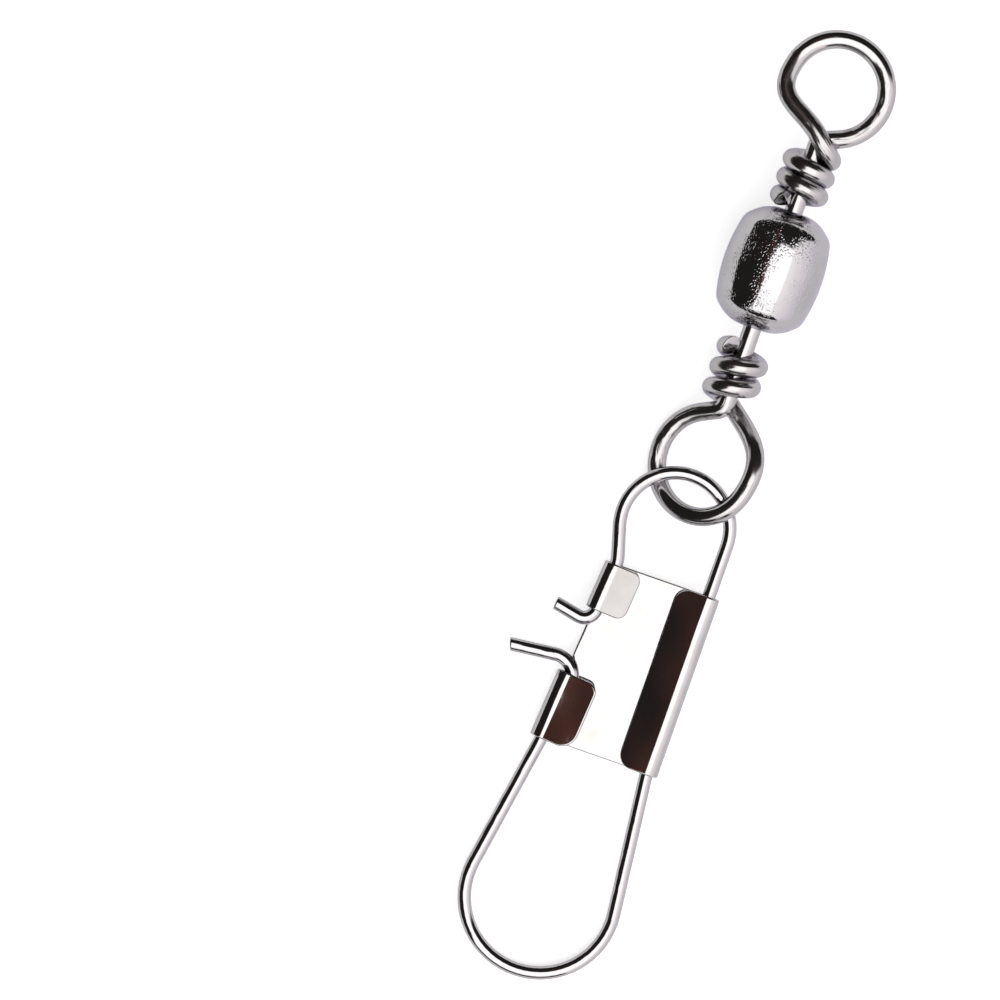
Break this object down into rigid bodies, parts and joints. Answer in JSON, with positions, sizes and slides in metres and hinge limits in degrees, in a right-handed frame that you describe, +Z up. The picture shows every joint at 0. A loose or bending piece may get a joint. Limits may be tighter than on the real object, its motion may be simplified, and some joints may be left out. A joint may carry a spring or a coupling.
{
  "type": "fishing snap swivel",
  "caption": "Barrel swivel with a twisted wire eye at each end, linked to a spring-wire snap held by a folded clip plate, lying flat.",
  "frame": {"origin": "on the table, below the middle of the part's bounding box", "axes": "+Y from the snap toward the line eye, +Z up from the table, +X to the clip plate's long folded edge"},
  "size_m": [0.0096, 0.0482, 0.0049],
  "materials": {
    "barrel_plate": "bright nickel plate",
    "eye_wire": "bright nickel-plated wire",
    "clip_sheet": "bright nickel-plated sheet",
    "spring_wire": "bright nickel-plated spring wire"
  },
  "bodies": {
    "barrel": {"barrel": "barrel_plate"},
    "line_eye": {"line_eye": "eye_wire"},
    "snap_eye": {"snap_eye": "eye_wire"},
    "snap": {"clip_plate": "clip_sheet", "snap_wire": "spring_wire"},
    "latch": {"latch_leg": "spring_wire"}
  },
  "joints": [
    {"name": "line_eye_spin", "type": "hinge", "parent": "barrel", "child": "line_eye", "pos_m": [0.00131, 0.01214, 0.00247], "axis": [0, 0.9967, 0.081], "continuous": true},
    {"name": "snap_eye_spin", "type": "hinge", "parent": "barrel", "child": "snap_eye", "pos_m": [0.00131, 0.01214, 0.00247], "axis": [0, 0.9967, 0.081], "continuous": true},
    {"name": "snap_swing", "type": "hinge", "parent": "snap_eye", "child": "snap", "pos_m": [0.00098, -0.00109, 0.00145], "axis": [0, -0.0486, 0.9988], "range_deg": [-40, 40]},
    {"name": "latch_press", "type": "hinge", "parent": "snap", "child": "latch", "pos_m": [0.00077, -0.02378, 0.00035], "axis": [0, 0.0486, -0.9988], "range_deg": [0, 10], "stiffness_Nm_per_rad": 0.02}
  ]
}
